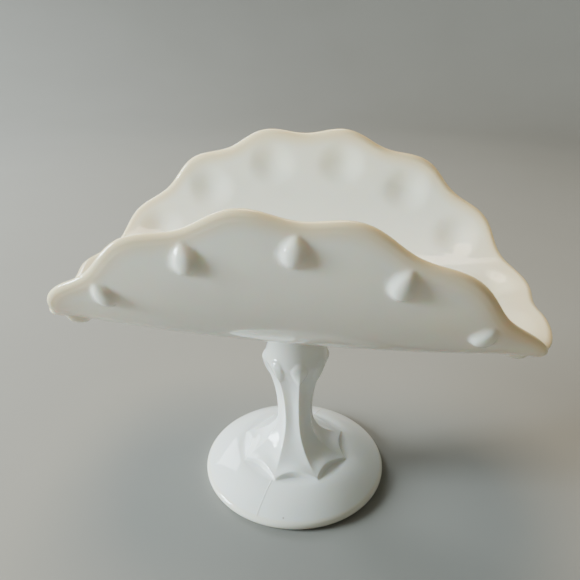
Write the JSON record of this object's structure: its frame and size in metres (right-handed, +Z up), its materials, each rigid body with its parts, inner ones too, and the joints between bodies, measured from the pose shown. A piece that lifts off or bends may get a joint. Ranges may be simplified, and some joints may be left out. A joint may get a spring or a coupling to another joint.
{
  "type": "cake stand",
  "caption": "Footed serving dish in opaque white pressed glass: a scalloped round plate folded up front and back into a long trough, on a fluted pedestal with a round foot.",
  "frame": {"origin": "centre of the foot's underside, on the surface the stand rests on", "axes": "+Z up along the stem, +X along the dish toward one open tip, +Y toward one folded side"},
  "size_m": [0.2779, 0.1729, 0.209],
  "materials": {
    "bowl": "glossy opaque white pressed glass, slightly cream and translucent where thin",
    "wafer": "glossy opaque white glass",
    "pedestal": "glossy opaque white pressed glass with faint mould seams"
  },
  "bodies": {
    "root": {"bowl": "bowl", "wafer": "wafer", "pedestal": "pedestal"}
  },
  "joints": []
}
